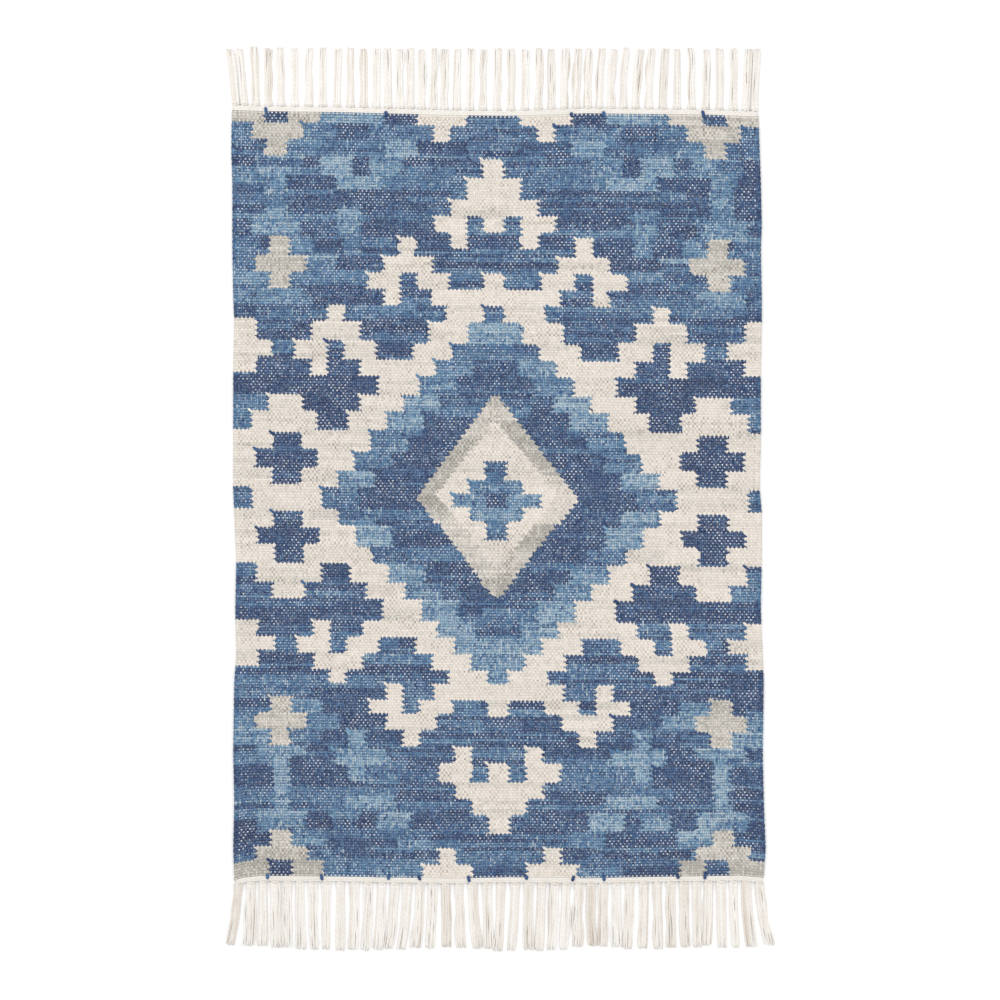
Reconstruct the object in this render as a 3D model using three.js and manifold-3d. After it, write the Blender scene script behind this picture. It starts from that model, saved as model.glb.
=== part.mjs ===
// A kilim rug lying flat: a handwoven cotton field with a heading and a knotted warp fringe at each end.
// Millimetres. +X across the rug, +Y along it towards the far end, +Z up from the floor it lies on.
import * as THREE from 'three';
import { mergeVertices } from 'three/addons/utils/BufferGeometryUtils.js';
import Module from 'manifold-3d';

const wasm = await Module();
wasm.setup();

// The cloth.
const CLOTH_THICKNESS = 4;
const EDGE_ROUNDING = 1.2;
const EDGE_FACETS = 2;

// The heading, a few picks of undyed yarn outside the last coloured one.
const HEADING_WIDTH = 6.2;
const HEADING_THICKNESS = 3.4;
const HEADING_ROUNDING = 0.7;
const HEADING_INSET = 0.5;
const PARTING = 0.3;

// One tassel: a bundle of warp ends knotted against the heading, in three flat-bottomed locks.
const KNOT_WIDTH = 8;
const KNOT_HEIGHT = 4.4;
const KNOT_SIDES = 6;
const KNOT_SEAT = 1.2;
const LOCKS_PER_TASSEL = 3;
const LOCK_ROOT_WIDTH = 2;
const LOCK_TIP_WIDTH = 2.7;
const LOCK_ROOT_SPACING = 2.4;
const LOCK_TIP_SPACING = 3.6;
const LOCK_HEIGHTS = { root: 2.8, middle: 2.9, tip: 2 };
const LOCK_CROWN_SHARE = 0.6;
const LOCK_CLEARANCE = 0.5;

// The unevenness of hand work, as waves over the count of the tassels or locks.
const TIP_SWAY = { reach: 0.9, turn: 2.4, start: 0.7 };
const TASSEL_RAGGED = { reach: 0.8, turn: 3.7, start: 0 };
const LOCK_RAGGED = { reach: 1.1, turn: 1.9, start: 0 };

// How far the two selvedges stand from the rug's middle line at each height, from far to near.
const SELVEDGES = [
  { y: 443, left: -303.6, right: 294.5 },
  { y: 393, left: -304.2, right: 296.2 },
  { y: 360, left: -303, right: 297.4 },
  { y: 311, left: -303, right: 298.5 },
  { y: 284, left: -303, right: 297.4 },
  { y: 229, left: -302, right: 298.5 },
  { y: 202, left: -300.8, right: 298.5 },
  { y: 147, left: -302, right: 297.4 },
  { y: 66, left: -302, right: 297.4 },
  { y: 11, left: -302, right: 296.2 },
  { y: -16, left: -300.8, right: 298.5 },
  { y: -70, left: -298.5, right: 298.5 },
  { y: -125, left: -299.6, right: 297.4 },
  { y: -179, left: -298.5, right: 299.6 },
  { y: -207, left: -300.8, right: 300.8 },
  { y: -288, left: -302, right: 299.6 },
  { y: -343, left: -300.8, right: 300.8 },
  { y: -397, left: -302, right: 303 },
  { y: -429, left: -300.8, right: 300.8 },
];

// How far out the last coloured pick lies at each end, from left to right.
const LAST_PICKS = [
  { x: -302, far: 441.5, near: -429.5 },
  { x: -270, far: 440.2, near: -427.6 },
  { x: -180, far: 439, near: -428.4 },
  { x: -110, far: 437.2, near: -429.8 },
  { x: -50, far: 435.6, near: -430.6 },
  { x: 12, far: 434.8, near: -429.2 },
  { x: 100, far: 437.8, near: -430.4 },
  { x: 160, far: 437, near: -429 },
  { x: 228, far: 436.4, near: -428 },
  { x: 275, far: 434.8, near: -427.4 },
  { x: 300, far: 434, near: -429.8 },
];

// Where the tassels stand along each heading: an even pitch, with the drift that tying by hand gives it.
const FAR_TASSELS = {
  side: 'far',
  count: 42,
  first: -303.4,
  pitch: 14.45,
  drifts: [{ reach: 3.7, turn: 0.436, start: -3.06 }, { reach: 2.2, turn: 0.174, start: 0.53 }],
};
const NEAR_TASSELS = {
  side: 'near',
  count: 41,
  first: -297.6,
  pitch: 14.9,
  drifts: [{ reach: 1.8, turn: 0.552, start: 1.85 }, { reach: 1.6, turn: 0.214, start: 3.02 }],
};
const ROOT_INSET = 5;

// How far a tassel's tip leans to the right, how far out it is cut and how far it bows, from left to right.
const FAR_LIE = [
  { x: -300, lean: -7.5, reach: 511, bow: 0.6 },
  { x: -280, lean: -2.5, reach: 513.4, bow: 0.2 },
  { x: -200, lean: 1.5, reach: 512.4, bow: -0.3 },
  { x: -120, lean: -0.8, reach: 512, bow: 0.4 },
  { x: -60, lean: 1.8, reach: 511.6, bow: -0.3 },
  { x: 40, lean: 0.6, reach: 511.8, bow: 0.5 },
  { x: 90, lean: 2.4, reach: 512, bow: -0.6 },
  { x: 165, lean: 5, reach: 511.8, bow: -1.2 },
  { x: 205, lean: 0, reach: 511.6, bow: 0.4 },
  { x: 275, lean: 1, reach: 511.8, bow: 0.4 },
  { x: 292, lean: 5.5, reach: 510.6, bow: -0.6 },
];
const NEAR_LIE = [
  { x: -295, lean: -10, reach: -506.4, bow: 1.2 },
  { x: -278, lean: -1, reach: -507.5, bow: 0.4 },
  { x: -215, lean: 1.6, reach: -512, bow: -0.6 },
  { x: -160, lean: -2, reach: -512.8, bow: 0.6 },
  { x: -105, lean: -8, reach: -511.4, bow: 1.6 },
  { x: -60, lean: 0, reach: -509.5, bow: 0.3 },
  { x: -28, lean: 5, reach: -510.6, bow: -1.2 },
  { x: 16, lean: -6.5, reach: -513.8, bow: 1.4 },
  { x: 34, lean: 0, reach: -512.6, bow: -0.6 },
  { x: 63, lean: -4.5, reach: -513, bow: 0.9 },
  { x: 105, lean: 1, reach: -507.4, bow: -0.8 },
  { x: 160, lean: -2.5, reach: -511.6, bow: 0.6 },
  { x: 190, lean: 2.5, reach: -510.4, bow: -0.5 },
  { x: 240, lean: -1, reach: -507.6, bow: 0.3 },
  { x: 268, lean: 4, reach: -510.4, bow: -0.8 },
  { x: 296, lean: 10.5, reach: -506.8, bow: -1.6 },
];

const indigo = new THREE.MeshStandardMaterial({ color: 0x4e74a6, roughness: 0.95, metalness: 0 });
const undyed = new THREE.MeshStandardMaterial({ color: 0xece4d8, roughness: 0.95, metalness: 0 });

function wave(count, { reach, turn, start }) {
  return reach * Math.sin(turn * count + start);
}

// Reads a column of one of the left to right tables above, between its rows.
function across(rows, x, column) {
  if (x <= rows[0].x) return rows[0][column];
  for (let i = 1; i < rows.length; i += 1) {
    const [low, high] = [rows[i - 1], rows[i]];
    if (x <= high.x) return THREE.MathUtils.mapLinear(x, low.x, high.x, low[column], high[column]);
  }
  return rows[rows.length - 1][column];
}

// A flat slab of the given outline with softened edges, lying on the floor.
function slab(points, thickness, rounding, facets) {
  const outline = new THREE.Shape(points);
  const geometry = new THREE.ExtrudeGeometry(outline, {
    depth: thickness - 2 * rounding,
    bevelEnabled: true,
    bevelThickness: rounding,
    bevelSize: rounding,
    bevelOffset: -rounding,
    bevelSegments: facets,
  });
  geometry.translate(0, 0, rounding);
  return bare(geometry);
}

// Keeps only the positions, with shared points merged, so that the mesh closes.
function bare(geometry) {
  const positions = geometry.clone();
  for (const name of Object.keys(positions.attributes)) {
    if (name !== 'position') positions.deleteAttribute(name);
  }
  return mergeVertices(positions, 1e-3);
}

function toSolid(geometry) {
  const mesh = new wasm.Mesh({
    numProp: 3,
    vertProperties: new Float32Array(geometry.attributes.position.array),
    triVerts: new Uint32Array(geometry.index.array),
  });
  return new wasm.Manifold(mesh);
}

function toGeometry(solid) {
  const mesh = solid.getMesh();
  const geometry = new THREE.BufferGeometry();
  geometry.setAttribute('position', new THREE.BufferAttribute(new Float32Array(mesh.vertProperties), 3));
  geometry.setIndex(new THREE.BufferAttribute(new Uint32Array(mesh.triVerts), 1));
  geometry.computeVertexNormals();
  return geometry;
}

// The field's outline, round from the far left corner down the left selvedge and back up the right one.
function fieldOutline() {
  const corner = { far: SELVEDGES[0], near: SELVEDGES[SELVEDGES.length - 1] };
  const side = (column) => SELVEDGES.slice(1, -1).map((row) => new THREE.Vector2(row[column], row.y));
  const end = (column) => LAST_PICKS.slice(1, -1).map((row) => new THREE.Vector2(row.x, row[column]));
  const at = (where, column) => new THREE.Vector2(
    corner[where][column], across(LAST_PICKS, corner[where][column], where));
  return [
    at('far', 'left'), ...side('left'), at('near', 'left'),
    ...end('near'), at('near', 'right'), ...side('right').reverse(),
    at('far', 'right'), ...end('far').reverse(),
  ];
}

// The heading follows the last coloured picks, a parting away from them.
function headingOutline(where) {
  const out = where === 'far' ? 1 : -1;
  const corner = where === 'far' ? SELVEDGES[0] : SELVEDGES[SELVEDGES.length - 1];
  const xs = [
    corner.left + HEADING_INSET,
    ...LAST_PICKS.slice(1, -1).map((row) => row.x),
    corner.right - HEADING_INSET,
  ];
  const edge = (x, offset) => new THREE.Vector2(x, across(LAST_PICKS, x, where) + out * offset);
  const inner = xs.map((x) => edge(x, PARTING));
  const outer = xs.map((x) => edge(x, PARTING + HEADING_WIDTH));
  return [...inner, ...outer.reverse()];
}

// A knot is a short fat roll laid across its bundle, flat where it touches the floor.
function knot(x, y) {
  const apothem = KNOT_HEIGHT / 2;
  const radius = apothem / Math.cos(Math.PI / KNOT_SIDES);
  const roll = new THREE.CylinderGeometry(radius, radius, KNOT_WIDTH, KNOT_SIDES, 1);
  roll.rotateY(Math.PI / KNOT_SIDES);
  roll.rotateZ(Math.PI / 2);
  roll.translate(x, y, apothem);
  return bare(roll);
}

// One four-sided lock: wide and flat below, narrower on top, laid through its three stations.
function lock(stations) {
  const positions = [];
  const index = [];
  for (const { x, y, width, height } of stations) {
    const half = width / 2;
    const crown = half * LOCK_CROWN_SHARE;
    positions.push(x - half, y, 0, x + half, y, 0, x + crown, y, height, x - crown, y, height);
  }
  for (let s = 0; s + 1 < stations.length; s += 1) {
    for (let k = 0; k < 4; k += 1) {
      const [a, b] = [4 * s + k, 4 * s + ((k + 1) % 4)];
      index.push(a, b, b + 4, a, b + 4, a + 4);
    }
  }
  const last = 4 * (stations.length - 1);
  index.push(0, 2, 1, 0, 3, 2, last, last + 1, last + 2, last, last + 2, last + 3);
  const outwards = stations[0].y > stations[stations.length - 1].y;
  if (!outwards) {
    for (let i = 0; i < index.length; i += 3) [index[i + 1], index[i + 2]] = [index[i + 2], index[i + 1]];
  }
  const geometry = new THREE.BufferGeometry();
  geometry.setAttribute('position', new THREE.Float32BufferAttribute(positions, 3));
  geometry.setIndex(index);
  return geometry;
}

// Where each tassel of one end is rooted and where its tip lies.
function tasselsOf({ side, count, first, pitch, drifts }, lie) {
  const corner = side === 'far' ? SELVEDGES[0] : SELVEDGES[SELVEDGES.length - 1];
  const out = side === 'far' ? 1 : -1;
  return Array.from({ length: count }, (_, i) => {
    const drift = drifts.reduce((sum, each) => sum + wave(i, each), 0);
    const x = THREE.MathUtils.clamp(
      first + pitch * i + drift, corner.left + ROOT_INSET, corner.right - ROOT_INSET);
    const root = across(LAST_PICKS, x, side) + out * (PARTING + HEADING_WIDTH);
    return {
      x,
      knotY: root + out * KNOT_SEAT,
      tipX: x + across(lie, x, 'lean') + wave(i, TIP_SWAY),
      tipY: across(lie, x, 'reach') + wave(i, TASSEL_RAGGED),
      bow: across(lie, x, 'bow'),
    };
  });
}

// A heading with its knots and locks, joined into one solid.
function fringe(setting, lie) {
  const tassels = tasselsOf(setting, lie);
  const fullTip = LOCK_TIP_SPACING * (LOCKS_PER_TASSEL - 1) + LOCK_TIP_WIDTH;
  let solid = toSolid(slab(headingOutline(setting.side), HEADING_THICKNESS, HEADING_ROUNDING, 1));
  tassels.forEach((tassel, i) => {
    const beside = [tassels[i - 1], tassels[i + 1]].filter(Boolean);
    // A tassel crowded by its neighbour lies narrower, so that no two locks touch.
    const share = (column, full) => {
      const room = Math.min(...beside.map((other) => Math.abs(other[column] - tassel[column])));
      return Math.min(1, (room - LOCK_CLEARANCE) / full);
    };
    const rootShare = share('x', KNOT_WIDTH);
    const tipShare = share('tipX', fullTip);
    solid = solid.add(toSolid(knot(tassel.x, tassel.knotY)));
    for (let k = 0; k < LOCKS_PER_TASSEL; k += 1) {
      const step = k - (LOCKS_PER_TASSEL - 1) / 2;
      const root = {
        x: tassel.x + step * LOCK_ROOT_SPACING * rootShare,
        y: tassel.knotY,
        width: LOCK_ROOT_WIDTH * rootShare,
        height: LOCK_HEIGHTS.root,
      };
      const tip = {
        x: tassel.tipX + step * LOCK_TIP_SPACING * tipShare,
        y: tassel.tipY + wave(LOCKS_PER_TASSEL * i + k, LOCK_RAGGED),
        width: LOCK_TIP_WIDTH * tipShare,
        height: LOCK_HEIGHTS.tip,
      };
      const middle = {
        x: (root.x + tip.x) / 2 + tassel.bow,
        y: (root.y + tip.y) / 2,
        width: (root.width + tip.width) / 2,
        height: LOCK_HEIGHTS.middle,
      };
      solid = solid.add(toSolid(lock([root, middle, tip])));
    }
  });
  return toGeometry(solid);
}

function piece(name, geometry, material) {
  const mesh = new THREE.Mesh(geometry, material);
  mesh.name = name;
  return mesh;
}

const rug = new THREE.Group();
rug.add(piece('woven_field', slab(fieldOutline(), CLOTH_THICKNESS, EDGE_ROUNDING, EDGE_FACETS), indigo));
rug.add(piece('fringe_far', fringe(FAR_TASSELS, FAR_LIE), undyed));
rug.add(piece('fringe_near', fringe(NEAR_TASSELS, NEAR_LIE), undyed));

// The origin is on the floor under the middle of the whole rug, fringe and all.
const middle = new THREE.Box3().setFromObject(rug).getCenter(new THREE.Vector3());
rug.position.set(-middle.x, -middle.y, 0);

export default rug;
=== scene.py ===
"""A small flatwoven kilim rug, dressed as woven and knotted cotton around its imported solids."""
import math
import random

import bpy
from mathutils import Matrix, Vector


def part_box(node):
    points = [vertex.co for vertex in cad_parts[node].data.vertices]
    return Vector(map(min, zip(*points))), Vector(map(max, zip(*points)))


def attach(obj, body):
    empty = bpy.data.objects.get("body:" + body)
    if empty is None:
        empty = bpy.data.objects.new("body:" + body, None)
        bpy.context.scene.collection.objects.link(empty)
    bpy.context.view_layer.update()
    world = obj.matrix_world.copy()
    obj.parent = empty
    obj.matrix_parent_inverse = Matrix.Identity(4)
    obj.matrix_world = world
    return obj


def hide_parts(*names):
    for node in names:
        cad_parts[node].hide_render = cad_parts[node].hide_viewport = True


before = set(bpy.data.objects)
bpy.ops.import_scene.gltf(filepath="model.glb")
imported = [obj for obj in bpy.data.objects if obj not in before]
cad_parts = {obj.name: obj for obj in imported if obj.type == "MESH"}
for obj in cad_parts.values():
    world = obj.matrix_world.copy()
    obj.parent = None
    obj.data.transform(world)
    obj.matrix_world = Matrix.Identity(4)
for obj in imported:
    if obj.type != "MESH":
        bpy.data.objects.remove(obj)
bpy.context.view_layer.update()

# The camera.
# It looks straight down on the rug from far off through a long lens, with the neater fringe at the top.
# Lengths are in millimetres from the middle of the cloth, and its left and far edges give its place.
MM = 0.001
PICTURE_WIDTH = 1135.3
PICTURE_MIDDLE = (1.1, -1.1)
LENS = 200
SENSOR = 36
LEFT_EDGE = -304.2
FAR_EDGE = 441.5

field_low, field_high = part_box("woven_field")
SHIFT_X = field_low.x / MM - LEFT_EDGE
SHIFT_Y = field_high.y / MM - FAR_EDGE


def lay_down(x, y, z):
    """A point measured in millimetres from the middle of the cloth, in metres on the floor."""
    return ((x + SHIFT_X) * MM, (y + SHIFT_Y) * MM, z * MM)


camera_data = bpy.data.cameras.new("camera")
camera_data.lens = LENS
camera_data.sensor_width = SENSOR
camera_data.clip_end = 100
camera = bpy.data.objects.new("camera", camera_data)
bpy.context.scene.collection.objects.link(camera)
camera.location = lay_down(*PICTURE_MIDDLE, PICTURE_WIDTH * LENS / SENSOR)
bpy.context.scene.camera = camera

# The design.
# A weft-faced kilim is charted on its warps and picks: each colour is woven to and fro over its own warps
# and dovetails with its neighbour around one shared warp, so a join is a row of small teeth.
# The chart is mirrored about the middle warp, and its steps are eight warps wide.
WARPS_LEFT = 128
WARPS_RIGHT = 125
PICKS = 280
SPANS = WARPS_LEFT + WARPS_RIGHT
STEP = 8
MIDDLE_BLOCK = 5.3
SELVEDGE = 130
SLIPPED_TEETH = 0.02
DEEP_TEETH = 0.9
# How often a pick's yarn differs from the last pick's, and over how many spans it stays the same.
CHANGED_PICKS = 0.65
ALIKE_SPANS = (14, 85)

weaver = random.Random(12)

# Depth of dye on the scale that the cloth's material reads, the yarn that now and then takes its place,
# how often, and how uneven the dye is.
YARNS = {
    "navy": {"dye": 0.04, "stray": 0.18, "share": 0.16, "uneven": 0.03},
    "dark": {"dye": 0.1, "stray": 0.3, "share": 0.18, "uneven": 0.04},
    "field": {"dye": 0.33, "stray": 0.08, "share": 0.5, "uneven": 0.05},
    "mid": {"dye": 0.34, "stray": 0.14, "share": 0.18, "uneven": 0.05},
    "soft": {"dye": 0.44, "stray": 0.32, "share": 0.27, "uneven": 0.05},
    "pale": {"dye": 0.54, "stray": 0.44, "share": 0.25, "uneven": 0.04},
    "stone": {"dye": 0.745, "stray": 0.77, "share": 0.3, "uneven": 0.012},
    "beige": {"dye": 0.785, "stray": 0.83, "share": 0.35, "uneven": 0.012},
    "oat": {"dye": 0.88, "stray": 0.81, "share": 0.3, "uneven": 0.015},
    "cream": {"dye": 0.94, "stray": 0.88, "share": 0.25, "uneven": 0.02},
}


def wind_bobbins():
    """Random numbers that hold along each stretch of a pick, and often over the next pick or two."""
    rows = []
    row = []
    for _ in range(PICKS):
        if not row or weaver.random() > 1 - CHANGED_PICKS:
            row = []
            while len(row) < SPANS:
                row += [(weaver.random(), weaver.gauss(0, 1))] * weaver.randint(*ALIKE_SPANS)
        rows.append(row[:SPANS])
    return rows


bobbins = wind_bobbins()
chart = [[0.0] * SPANS for _ in range(PICKS)]
laid = [[""] * SPANS for _ in range(PICKS)]
blocks = []


def steps_out(count):
    """Warps from the middle one to the edge of that step of the design."""
    return MIDDLE_BLOCK + STEP * (count - 1) if count > 0 else 0


def tooth_depth(pick):
    """How many warps further out a pick turns than its neighbours at a dovetailed join."""
    if (pick + (weaver.random() < SLIPPED_TEETH)) % 2 == 0:
        return 0
    return 2 if weaver.random() < DEEP_TEETH else 1


def weave(yarn, first, last, near, far, sides=(-1, 1)):
    """Weaves a yarn over a run of picks between two distances in warps from the middle, on both halves."""
    kind = YARNS[yarn]
    first, last = max(0, round(first)), min(PICKS, round(last))
    for side in sides:
        blocks.append((yarn, first, last, near * side, far * side))
        for pick in range(first, last):
            start = 0 if near <= 0 else int(near) - 1 + tooth_depth(pick)
            stop = int(far) - 1 + tooth_depth(pick)
            for out in range(start, min(stop, WARPS_LEFT if side < 0 else WARPS_RIGHT)):
                span = WARPS_LEFT + (out if side > 0 else -1 - out)
                chance, lean = bobbins[pick][span]
                dye = kind["stray"] if chance < kind["share"] else kind["dye"]
                chart[pick][span] = dye + lean * kind["uneven"]
                laid[pick][span] = yarn


# Columns: yarn, first pick, last pick, nearest step, farthest step.
FAR_GROUND = (
    ("pale", 0, 4, 7, 11), ("dark", 0, 4, 5, 7), ("mid", 4, 10, 10, 12), ("dark", 4, 10, 8, 10),
    ("mid", 4, 10, 4, 8), ("mid", 4, 16, 15, 17), ("soft", 10, 16, 11, 13), ("mid", 10, 16, 7, 11),
    ("pale", 10, 16, 5, 7), ("dark", 10, 15, 2, 5), ("soft", 16, 23, 12, 15), ("dark", 16, 20, 11, 12),
    ("pale", 16, 23, 9, 11), ("dark", 16, 23, 8, 9), ("soft", 16, 23, 6, 8), ("dark", 16, 19, 1, 6),
    ("dark", 26, 37, 14.4, 17), ("dark", 23, 28, 10, 13), ("dark", 32, 37, 10, 13),
    ("pale", 23, 28, 7, 10), ("dark", 28, 30, 3, 10), ("dark", 32, 37, 3, 10), ("soft", 34, 52, 8.5, 10),
    ("soft", 38, 45, 12.3, 15.3), ("dark", 36, 42, 4, 8), ("soft", 45, 52, 11.5, 13),
    ("dark", 45, 52, 9.6, 11.3), ("dark", 45, 52, 6.3, 8.5), ("pale", 52, 54, 10, 12),
    ("dark", 52, 57, 7, 10), ("soft", 23, 45, 13, 14.4), ("mid", 45, 57, 14.8, 17),
)
FAR_SHOULDERS = (
    ("soft", 58, 64, 14.2, 17), ("mid", 57, 64, 8.3, 13), ("soft", 64, 70, 12, 15),
    ("dark", 64, 75, 15.2, 17), ("dark", 65, 70, 7, 12), ("mid", 70, 75, 11, 14.2),
    ("mid", 70, 75, 3.5, 9.7), ("dark", 75, 83, 11.7, 15.3), ("dark", 75, 83, 4.5, 8.7),
    ("dark", 83, 89, 5.5, 7.7), ("dark", 83, 96, 8.6, 10.7), ("dark", 89, 96, 11.7, 15.3),
    ("mid", 83, 89, 12.7, 14.2), ("navy", 96, 103, 7.7, 17), ("navy", 103, 109, 8.7, 12.3),
    ("mid", 103, 109, 14, 17), ("mid", 109, 116, 15, 17), ("navy", 109, 116, 9.3, 11.4),
)
NEAR_SHOULDERS = (
    ("navy", 165, 172, 9.3, 11.3), ("mid", 165, 172, 15, 17), ("mid", 172, 178, 14, 17),
    ("dark", 172, 178, 8.4, 12.2), ("dark", 178, 186, 7.4, 17), ("mid", 211, 215, 4, 6),
    ("dark", 211, 215, 7, 11.7), ("soft", 215, 220, 11, 13), ("dark", 215, 220, 8, 11),
    ("soft", 220, 226, 15, 17), ("soft", 220, 226, 10, 12), ("dark", 220, 226, 7, 10),
)
NEAR_GROUND = (
    ("pale", 226, 232, 14, 17), ("mid", 226, 232, 11, 13), ("dark", 226, 232, 9.5, 11),
    ("dark", 226, 232, 6, 8.4), ("dark", 232, 236, 15, 17), ("pale", 232, 236, 12, 15),
    ("mid", 236, 239, 14, 17), ("dark", 232, 236, 10.5, 12), ("dark", 232, 236, 3, 7),
    ("dark", 239, 246, 14, 17), ("dark", 239, 246, 9.5, 13), ("mid", 239, 246, 4, 8.4),
    ("pale", 233, 239, 7, 10), ("pale", 226, 245, 8.4, 9.4), ("pale", 250, 255, 6.7, 9.8),
    ("dark", 248, 251, 3, 6.7), ("pale", 256, 264, 12, 15), ("dark", 256, 264, 10.5, 12),
    ("soft", 256, 264, 8.8, 10.5), ("dark", 256, 264, 7.8, 8.8), ("pale", 256, 264, 5.7, 7.8),
    ("dark", 256, 264, 1, 5.7), ("pale", 263, 269, 10.8, 12.9), ("dark", 263, 269, 6.7, 10.8),
    ("soft", 263, 269, 4.5, 6.7), ("dark", 270, 273, 7.8, 9.8), ("dark", 270, 273, 4, 5.7),
    ("mid", 274, 280, 5, 11), ("pale", 232, 263, 13, 14),
)
# Columns: first pick, last pick, the cream band's nearest and farthest warp, the blue just inside the band.
MEDALLION = (
    (58, 64, 0, 5.3, None), (64, 70, 0, 31, None), (70, 76, 5.3, 24.3, "mid"), (76, 84, 13.3, 32, "pale"),
    (84, 90, 21.3, 40, "mid"), (90, 96, 29.3, 66, "soft"), (96, 103, 37.3, 57.5, "soft"),
    (103, 109, 45.3, 66, "pale"), (109, 116, 53.3, 72, "pale"), (116, 124, 61.3, SELVEDGE, "soft"),
    (124, 131, 69.3, SELVEDGE, "mid"), (131, 137, 77.3, SELVEDGE, "pale"),
    (137, 145, 85.3, SELVEDGE, "mid"), (145, 151, 77.3, SELVEDGE, "soft"),
    (151, 159, 69.3, SELVEDGE, "pale"), (159, 165, 61.3, SELVEDGE, "mid"), (165, 172, 53.3, 72, "pale"),
    (172, 178, 45.3, 64, "soft"), (178, 186, 37.3, 56, "pale"), (186, 192, 29.3, 66.5, "pale"),
    (192, 198, 21.3, 40, "pale"), (198, 204, 13.3, 32, "soft"), (204, 209, 5.3, 24.3, "soft"),
    (209, 215, 0, 31, None), (215, 221, 0, 5.3, None),
)
# The blue inside the band is a ring of this width in warps. Where the band is nearer than this, it fills it.
RING_WIDTH = 18
RING_CLOSES = 29
# What the ring leaves open is dark up to this pick, and the field's blue after it.
LAST_DARK_PICK = 178
# Columns: first pick, last pick, nearest warp, farthest warp.
BIG_CROWNS = (
    (16, 23, 0, 5.3), (23, 31, 0, 13.3), (31, 37, 0, 21.3), (37, 43, 0, 5.3), (37, 43, 13.3, 29.3),
    (43, 49, 13.3, 21.3), (232, 238, 13.3, 21.3), (238, 245, 0, 5.3), (238, 245, 13.3, 29.3),
    (245, 251, 0, 21.3), (251, 257, 0, 13.3), (257, 264, 0, 5.3),
)
END_MOTIFS = (
    (0, 4, 13.3, 37), (4, 10, 21.3, 29.3), (269, 276, 21.3, 29.3), (275, 280, 13.3, 37),
)
SIDE_HEXAGONS = (
    (75, 83, 117.5, SELVEDGE), (83, 89, 109.3, SELVEDGE), (89, 95, 117.5, SELVEDGE), (103, 109, 94, 111),
    (109, 116, 87.8, 119.5), (165, 172, 86.6, 118), (172, 178, 94.3, 110.3), (186, 192, 117.3, SELVEDGE),
    (192, 197, 109.3, SELVEDGE), (197, 203, 117.3, SELVEDGE),
)


def weave_small_crown(middle, courses):
    """A block, a wide course, two parted arms and an outer leg, over four courses that run either way."""
    reaches = ((-4, 4),), ((-12, 12),), ((-20, -4), (4, 20)), ((4, 12),)
    for (start, stop), parts in zip(zip(courses, courses[1:]), reaches):
        for near, far in parts:
            weave("cream", min(start, stop), max(start, stop), middle + near, middle + far)


def weave_cross(yarn, middle, upright, picks, arm, arm_picks):
    """A cross with its upright and its arms, each given as half its width about the cross's middle warp."""
    weave(yarn, *picks, middle - upright, middle + upright)
    weave(yarn, *arm_picks, middle - arm, middle + arm)


LEAST_REACH = 1.5


def weave_diamond(lots, middle_pick, half_width, half_height, sides=(-1, 1)):
    """A diamond with finely stepped sides, about the middle warp, whose yarn changes from lot to lot."""
    for yarn, first, last in lots:
        for pick in range(first, last):
            reach = half_width * (1 - abs(pick + 0.5 - middle_pick) / half_height)
            if reach > LEAST_REACH:
                weave(yarn, pick, pick + 1, 0, reach, sides)


weave("field", 0, PICKS, 0, SELVEDGE)
for yarn, first, last, near, far in FAR_GROUND + FAR_SHOULDERS + NEAR_SHOULDERS + NEAR_GROUND:
    weave(yarn, first, last, steps_out(near), steps_out(far))
weave_cross("pale", 68.3, 4, (227, 245), 11.5, (233, 239))
for first, last, near, far in BIG_CROWNS + END_MOTIFS + SIDE_HEXAGONS:
    weave("cream", first, last, near, far)
for first, last, near, far, ring in MEDALLION:
    if ring:
        inside = ring if near < RING_CLOSES else "dark" if first < LAST_DARK_PICK else "field"
        weave(inside, first, last, 0, near)
        weave(ring, first, last, max(0, near - RING_WIDTH), near)
    weave("cream", first, last, near, far)
# Columns: middle warp, the picks that bound its courses.
SMALL_CROWNS = (
    (42.3, (45, 52, 58, 64, 70)), (42.3, (232, 226, 220, 215, 209)), (78.2, (70, 76, 83, 90, 96)),
    (78.2, (209, 204, 198, 192, 186)),
)
for middle, courses in SMALL_CROWNS:
    weave_small_crown(middle, courses)
weave_cross("navy", 102.5, 6.8, (117, 136), 14.8, (123, 130))
weave_cross("navy", 102.5, 6.8, (146, 165), 14.8, (152, 158))
weave("mid", 137, 145, 119, SELVEDGE)
weave_cross("beige", 105.1, 5, (45, 64), 12.3, (52, 58))
weave_cross("beige", 105.5, 5, (214, 232), 12.3, (220, 226))
# The far corners' motifs differ by two warps from side to side.
for side, shift in ((-1, 1.2), (1, -1.2)):
    weave("beige", 0, 4, 84.2 + shift, SELVEDGE, (side,))
    weave("beige", 4, 10, 92.5 + shift, 117.4 + shift, (side,))
    weave("beige", 10, 16, 100.6 + shift, 110.3 + shift, (side,))
    weave("navy", 0, 4, 100.2 + shift, 111.5 + shift, (side,))
weave("beige", 263, 269, 100.4, 110)
weave("beige", 269, 274, 92.3, 117)
weave("stone", 274, 280, 85, SELVEDGE)
weave("navy", 274, 280, 100.3, 111, (-1,))
weave("navy", 274, 280, 97.7, 108.7, (1,))
# Middle pick, half width in warps and half height in picks of the diamond, and of the cream one in it.
DIAMOND = (140.2, 39.5, 38.7)
CREAM_DIAMOND = (139.4, 30, 28.2)
weave_diamond((
    ("stone", 100, 107), ("beige", 107, 122), ("stone", 122, 147), ("oat", 147, 168), ("beige", 168, 182),
), *DIAMOND, (-1,))
weave_diamond((
    ("stone", 100, 107), ("oat", 107, 112), ("stone", 112, 132), ("oat", 132, 150), ("stone", 150, 160),
    ("oat", 160, 168), ("stone", 168, 182),
), *DIAMOND, (1,))
weave_diamond((("cream", 105, 175),), *CREAM_DIAMOND)
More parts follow.
